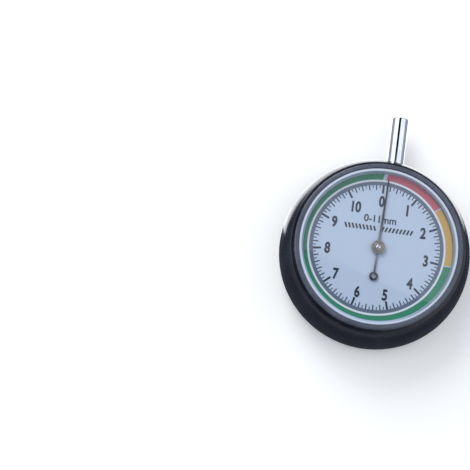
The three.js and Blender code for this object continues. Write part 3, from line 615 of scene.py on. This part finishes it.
DIGIT_TALL, DIGIT_AT, DIGIT_SQUEEZE, DIGIT_WEIGHT = 2.75, 11.55, 0.74, 0.04
digit_radius = {0: 11.1, 3: 11.95, 10: 10.75}
digit_places = [at_reading(n, digit_radius.get(n, DIGIT_AT)) for n in range(int(FULL_TURN))]
numbers = [
    lettering(str(n), DIGIT_TALL, place, DIGIT_SQUEEZE, DIGIT_WEIGHT) for n, place in enumerate(digit_places)
]
piece("print_numbers", together(*numbers), "case", ink)
range_text = lettering("0-11mm", 1.8, (0.1, 6.75), 0.95, 0.02)
piece("print_range", range_text, "case", ink)

# %% [markdown]
# Below the range stands a small generic mark instead of a title: a strip of tyre tread, with slanted
# blocks on either side of a straight groove. It is drawn with the same bars as the ticks: the left half
# leans one way, and its mirror image the other.

# %% Tread mark
BLOCKS, BLOCK_TALL, MARK_Y, BLOCK_WIDTH, PITCH, LEAN = 9, 1.15, 4.45, 0.42, 0.85, 0.45
right = 0.75 + PITCH * np.arange(BLOCKS)
feet_x = np.concatenate([-right[::-1], right])
block_foot = np.stack([feet_x, np.full(2 * BLOCKS, MARK_Y - BLOCK_TALL / 2)], -1)
block_head = block_foot + np.stack([LEAN * np.sign(feet_x), np.full(2 * BLOCKS, BLOCK_TALL)], -1)
piece("print_tread_mark", bars(block_foot, block_head, BLOCK_WIDTH), "case", ink)

# %% [markdown]
# The pointer is a stamped needle, painted satin black, pressed under a turned hub. Its outline is a half
# width for each place along its length: a taper towards the tip, a round boss over the spindle and a
# narrow tail that ends in a ring, the counterweight. A low ridge runs along the middle, so the two sides
# catch the light differently.

# %% Needle
needle_mesh = frame["nodes"]["pointer_needle"].data
needle_points = np.zeros(len(needle_mesh.vertices) * 3)
needle_mesh.vertices.foreach_get("co", needle_points)
needle_points = needle_points.reshape(-1, 3) / MM
needle_tip = needle_points[np.argmax(np.hypot(needle_points[:, 0], needle_points[:, 1]))]
NEEDLE_TURN = math.atan2(-needle_tip[0], needle_tip[1])
NEEDLE_REACH = math.hypot(needle_tip[0], needle_tip[1])
NEEDLE_LOW, NEEDLE_HIGH = low("pointer_needle")[2], high("pointer_needle")[2]
TAIL_AT, TAIL_RING, TAIL_HOLE, BOSS = -7.0, 1.05, 0.48, 1.3


def needle_frame(points):
    """Turns points drawn along +Y to the needle's direction."""
    c, s = math.cos(NEEDLE_TURN), math.sin(NEEDLE_TURN)
    x, y = points[:, 0], points[:, 1]
    return np.stack([c * x - s * y, s * x + c * y, points[:, 2]], -1)


def needle_blade():
    """Point (y, k) = (half width(y) * section_k, y, height_k), with the half width nothing at both ends."""
    y = np.concatenate([np.linspace(TAIL_AT + 0.75, -BOSS, 30), BOSS * np.sin(np.linspace(-1.55, 1.55, 40))])
    y = np.unique(np.concatenate([y, np.linspace(BOSS, NEEDLE_REACH, 90)]))
    half = np.where(y > 0, 0.30 - 0.15 * y / NEEDLE_REACH, 0.23)
    half = np.maximum(half, np.sqrt(np.clip(BOSS**2 - y**2, 0, None)))
    half = np.minimum(half, 0.45 * (NEEDLE_REACH - y))
    half[0] = 0
    section = np.array([(-1, 0), (-1, 0.55), (-0.86, 0.85), (0, 1), (0.86, 0.85), (1, 0.55), (1, 0)])
    tall = NEEDLE_HIGH - NEEDLE_LOW
    x = half[:, None] * section[None, :, 0]
    z = np.where(half[:, None] > 0, NEEDLE_LOW + tall * section[None, :, 1], NEEDLE_LOW + tall / 2)
    points = np.stack([x, np.repeat(y[:, None], len(section), 1), z], -1).reshape(-1, 3)
    return needle_frame(points), grid_faces(len(y), len(section), False, True)


ring_outline = [(TAIL_HOLE, NEEDLE_LOW), (TAIL_RING, NEEDLE_LOW), (TAIL_RING, NEEDLE_HIGH - 0.05)]
ring_outline += [(TAIL_RING - 0.06, NEEDLE_HIGH), (TAIL_HOLE + 0.06, NEEDLE_HIGH)]
ring_outline += [(TAIL_HOLE, NEEDLE_HIGH - 0.05)]
ring_points, ring_faces = moved(turned(ring_outline, 64), 0, TAIL_AT)
tail_ring = needle_frame(ring_points), ring_faces


def worn_paint():
    """Dark paint with a painted sheen: a lighter grey within a few millimetres of the hub, for the light the
    needle reflects there.
    """
    recipe = Recipe("needle_paint")
    distance = recipe.node("ShaderNodeVectorMath", {"operation": "LENGTH"}, {0: recipe.place((1, 1, 0))}, 1)
    speckle = recipe.noise(1500, 3, 0.6)
    # painted highlight: within about 4 mm of the hub the colour turns to a lighter grey, standing in for the
    # sheen the needle shows there
    paint = recipe.between(distance + 0.002 * speckle, 0.004, 0.0075)
    return recipe.surface(
        Base_Color=recipe.blend(paint, (0.17, 0.185, 0.21), (0.020, 0.027, 0.045)),
        Roughness=0.28 + 0.1 * speckle,
        Normal=recipe.bump(speckle, 0.3, 0.00001),
        IOR=1.5,
    )


needle_paint = worn_paint()
whole_needle = together(needle_blade(), tail_ring)
piece("needle_blade", whole_needle, "pointer", needle_paint, ["pointer_needle"])
print(f"needle turned {math.degrees(NEEDLE_TURN):.1f} degrees, reach {NEEDLE_REACH:.1f} mm")

# %% [markdown]
# Bare metals share one recipe. The base colour and a low roughness make the metal; what makes it look
# machined is a fine line pattern that the tool left: rings round the axis on turned pieces, straight
# grain on rolled and milled ones. The lines disturb the surface and its gloss a little.

# %% Metals
def metal(name, colour, gloss, grain=(1, 1, 1), depth=0.3, rings=0.0, dull=0.1):
    """A metal with stretched grain, and with rings round Z where rings gives their number per metre."""
    recipe = Recipe(name)
    streaks = recipe.noise(900, 3, 0.6, at=recipe.place(grain))
    patches = recipe.between(recipe.noise(180, 3, 0.6), 0.4, 0.75)
    relief = streaks
    if rings:
        settings = {"wave_type": "RINGS", "rings_direction": "Z"}
        sockets = {"Vector": recipe.place(), "Scale": rings, "Distortion": 0.4, "Detail": 1.0}
        relief = 0.5 * streaks + recipe.node("ShaderNodeTexWave", settings, sockets)
    tarnish = tuple(0.82 * c for c in colour)
    return recipe.surface(
        Base_Color=recipe.blend(patches, colour, tarnish),
        Metallic=1.0,
        Roughness=gloss + dull * streaks + 0.08 * patches,
        Normal=recipe.bump(relief, depth, 0.00001),
    )


chrome = metal("chrome_plate", (0.74, 0.78, 0.85), 0.02, (8, 0.3, 8), 0.06, dull=0.03)
ground_steel = metal("ground_steel", (0.56, 0.56, 0.58), 0.16, (6, 0.4, 6), 0.3)
turned_steel = metal("turned_steel", (0.40, 0.37, 0.35), 0.22, depth=0.5, rings=900.0)
bright_steel = metal("bright_steel", (0.80, 0.78, 0.76), 0.12, depth=0.1)
spring_steel = metal("drawn_spring_steel", (0.32, 0.33, 0.36), 0.26, (1, 1, 6), 0.3)
brass = metal("milled_brass", (0.62, 0.46, 0.21), 0.24, (0.3, 7, 7), 0.5)
black_oxide = metal("black_oxide", (0.045, 0.045, 0.05), 0.34, (3, 3, 3), 0.4)

# %% [markdown]
# The hub is a small turned disc pressed on the spindle over the needle: a rounded rim, a fine groove, a
# raised middle, and the spindle's polished end in the centre.

# %% Hub and spindle end
HUB_LOW, HUB_HIGH = low("pointer_hub")[2], high("pointer_hub")[2]
SPINDLE = 0.5
hub_outline = [(SPINDLE + 0.05, HUB_LOW), (1.5, HUB_LOW), (1.65, HUB_LOW + 0.1)]
hub_outline += arc((1.55, HUB_HIGH - 0.18), 0.1, 0, 90, 5)
hub_outline += [(1.28, HUB_HIGH - 0.08), (1.22, HUB_HIGH - 0.16), (1.12, HUB_HIGH - 0.16)]
hub_outline += [(1.06, HUB_HIGH - 0.06), *arc((0.96, HUB_HIGH - 0.07), 0.07, 10, 90, 4)]
hub_outline += [(0.66, HUB_HIGH), (0.62, HUB_HIGH - 0.04), (SPINDLE + 0.05, HUB_HIGH - 0.04)]
piece("hub_disc", turned(hub_outline, 96), "pointer", turned_steel, ["pointer_hub"])

cap_outline = [(0, HUB_HIGH - 0.15), (SPINDLE + 0.03, HUB_HIGH - 0.15), (SPINDLE + 0.03, HUB_HIGH + 0.02)]
cap_outline += bend(cap_outline[-1], (0.42, HUB_HIGH + 0.15), (0.0, HUB_HIGH + 0.16), 8)[1:]
piece("spindle_end", turned(cap_outline, 48, closed=False), "pointer", bright_steel)

# %% [markdown]
# The stem is a chrome-plated tube that slides in a bush. Chrome has no look of its own: it mirrors the
# studio, which is why the lights below are long boxes with a dark gap between them. The tube is turned
# round Z and then laid along the stem's axis.

# %% Sleeve, bush and pin
SLEEVE_BORE = 0.85
PIN_RADIUS = 0.75
BUSH_RADIUS, BUSH_SHOULDER = 2.7, 19.4


def along_stem(shape):
    """Lays a shape turned round Z along the stem's axis: (x, y, z) goes to (STEM_X + x, z, STEM_Z - y)."""
    points, faces = shape
    return np.stack([STEM_X + points[:, 0], points[:, 2], STEM_Z - points[:, 1]], -1), faces


sleeve_outline = [(SLEEVE_BORE, SLEEVE_FOOT), (SLEEVE_RADIUS, SLEEVE_FOOT)]
sleeve_outline += [(SLEEVE_RADIUS, y) for y in np.linspace(18, SLEEVE_TIP - 0.3, 12)]
sleeve_outline += arc((SLEEVE_RADIUS - 0.2, SLEEVE_TIP - 0.2), 0.2, 0, 90, 6)
sleeve_outline += [(SLEEVE_BORE + 0.15, SLEEVE_TIP), (SLEEVE_BORE, SLEEVE_TIP - 0.15)]
sleeve_shape = along_stem(turned(sleeve_outline, 96))
piece("sleeve_tube", sleeve_shape, "plunger", chrome, ["measuring_sleeve"])

bush_low, bush_high = low("stem_bush"), high("stem_bush")
flange = bush_high[0] - STEM_X
bush_outline = [(SLEEVE_RADIUS + 0.05, bush_low[1]), (flange, bush_low[1]), (flange, BUSH_SHOULDER)]
bush_outline += [(BUSH_RADIUS, BUSH_SHOULDER), (BUSH_RADIUS, bush_high[1] - 0.2)]
bush_outline += [(BUSH_RADIUS - 0.2, bush_high[1])]
bush_outline += [(SLEEVE_RADIUS + 0.2, bush_high[1]), (SLEEVE_RADIUS + 0.05, bush_high[1] - 0.15)]
piece("guide_bush", along_stem(turned(bush_outline, 80)), "case", chrome, ["stem_bush"])

pin_low, pin_high = low("measuring_pin")[1], high("measuring_pin")[1]
pin_outline = [(0, pin_low), (PIN_RADIUS, pin_low), (PIN_RADIUS, pin_high - 0.2)]
pin_outline += [*arc((PIN_RADIUS - 0.2, pin_high - 0.2), 0.2, 0, 90, 5)[1:], (0, pin_high)]
pin_shape = along_stem(turned(pin_outline, 48, closed=False))
piece("pin_rod", pin_shape, "case", ground_steel, ["measuring_pin"])

# %% [markdown]
# The inner works keep the frame's own shapes. Each part only gets the finish of its metal, chosen by the
# material slot that the record gives it.

# %% Finishes of the inner works
by_slot = {
    "black_case": cover_black,
    "hard_steel": ground_steel,
    "spring_steel": spring_steel,
    "black_steel": black_oxide,
    "brass": brass,
}
slot_of = {row["node"]: row["material_slot"] for row in frame["record"]["subparts"]}
dressed = 0
for name, node in frame["nodes"].items():
    if not node.hide_render:
        for material_slot in node.material_slots:
            material_slot.material = by_slot[slot_of[name]]
        dressed += 1
print(dressed, "parts of the frame keep their shape and get a finish")

# %% [markdown]
# The studio: a pale floor, a soft box high on each side of the camera and one from the upper left that
# gives the shadow its direction. Three cards only show in reflections. A dark one hangs between the side
# boxes, draws the thin dark line along the chrome and keeps glare off the lens. A small one under it lays
# a faint veil over part of the lens. A pale one lies low on the upper left, draws the bright band along
# that side of the case and lights the edges of the chrome. Reflections don't see the floor itself: they
# see the air, which is bright down to well below the horizon and dusky under that.

# %% Floor and world
def floor_finish():
    """Matt, very pale paint above. From below the floor is clear, so that the gauge's back shows."""
    recipe = Recipe("pale_floor")
    cloud = recipe.noise(14, 3, 0.5)
    colour = recipe.blend(cloud, (0.88, 0.885, 0.89), (0.9, 0.905, 0.91))
    glow = {"Emission Color": (0.97, 0.98, 1.0, 1), "Emission Strength": 0.22}
    sockets = {"Base Color": colour, "Roughness": 0.6 + 0.1 * cloud, "IOR": 1.3, **glow}
    paint = recipe.node("ShaderNodeBsdfPrincipled", {}, sockets)
    clear = recipe.node("ShaderNodeBsdfTransparent")
    from_below = recipe.node("ShaderNodeNewGeometry", output="Backfacing")
    return recipe.done(recipe.node("ShaderNodeMixShader", {}, {0: from_below, 1: paint, 2: clear}))


FLOOR, FLOOR_GAP = 6000.0, 0.05
floor_points = np.array([(-1, -1), (1, -1), (1, 1), (-1, 1)]) * FLOOR / 2
floor_points = np.column_stack([floor_points, np.full(4, -FLOOR_GAP)])
floor_mesh = bpy.data.meshes.new("floor")
floor_mesh.from_pydata(floor_points * MM, [], [(0, 1, 2, 3)])
floor_mesh.materials.append(floor_finish())
floor = bpy.data.objects.new("floor", floor_mesh)
bpy.context.scene.collection.objects.link(floor)
floor.visible_glossy = False


def studio_air():
    """Even light from above and from the sides, and dusk from below for the reflections in the case."""
    recipe = Recipe("studio_air", bpy.data.worlds)
    direction = recipe.node("ShaderNodeTexCoord", output="Generated")
    height = recipe.node("ShaderNodeSeparateXYZ", {}, {"Vector": direction}, output="Z")
    colour = recipe.blend(recipe.between(height, -0.62, -0.48), (0.17, 0.18, 0.23), (0.90, 0.94, 1.0))
    shader = recipe.node("ShaderNodeBackground", {}, {"Color": colour, "Strength": 0.42})
    return recipe.done(shader, "ShaderNodeOutputWorld")


bpy.context.scene.world = studio_air()
bpy.context.scene.view_settings.view_transform = "Standard"


# %% Lights and cards
def soft_box(name, place, size, power, colour):
    """An area light that looks at the gauge and isn't seen itself."""
    data = bpy.data.lights.new(name, "AREA")
    data.shape, data.size, data.size_y = "RECTANGLE", size[0], size[1]
    data.energy, data.color = power, colour
    made = bpy.data.objects.new(name, data)
    made.location = place
    made.rotation_euler = (-Vector(place)).to_track_quat("-Z", "Y").to_euler()
    made.visible_camera = False
    bpy.context.scene.collection.objects.link(made)


soft_box("box_left", (-0.36, 0.06, 0.34), (0.34, 0.6), 0.75, (0.93, 0.96, 1.0))
soft_box("box_right", (0.30, 0.06, 0.36), (0.34, 0.6), 0.55, (0.94, 0.96, 1.0))
soft_box("key", (-0.30, 0.52, 0.50), (0.4, 0.4), 3.0, (1.0, 0.99, 0.97))


def card(name, corners, height, light):
    """A level card with the given corners that shows only in reflections, with its own even light."""
    recipe = Recipe(name)
    sockets = {"Color": (0.92, 0.95, 1.0, 1), "Strength": light}
    finish = recipe.done(recipe.node("ShaderNodeEmission", {}, sockets))
    mesh = bpy.data.meshes.new(name)
    mesh.from_pydata([(x * MM, y * MM, height * MM) for x, y in corners], [], [range(len(corners))])
    mesh.materials.append(finish)
    made = bpy.data.objects.new(name, mesh)
    bpy.context.scene.collection.objects.link(made)
    made.visible_camera = made.visible_diffuse = made.visible_shadow = made.visible_transmission = False


card("dark_card", [(-165, -350), (70, -350), (70, 550), (-165, 550)], 450, 0.01)
card("veil_card", [(-12, 92), (90, 62), (90, 136), (-12, 136)], 449, 1.5)
card("pale_card", [(-58, 17), (-3, 17), (-3, 34), (60, 34), (60, 62), (-3, 95), (-58, 95)], -50, 2.1)
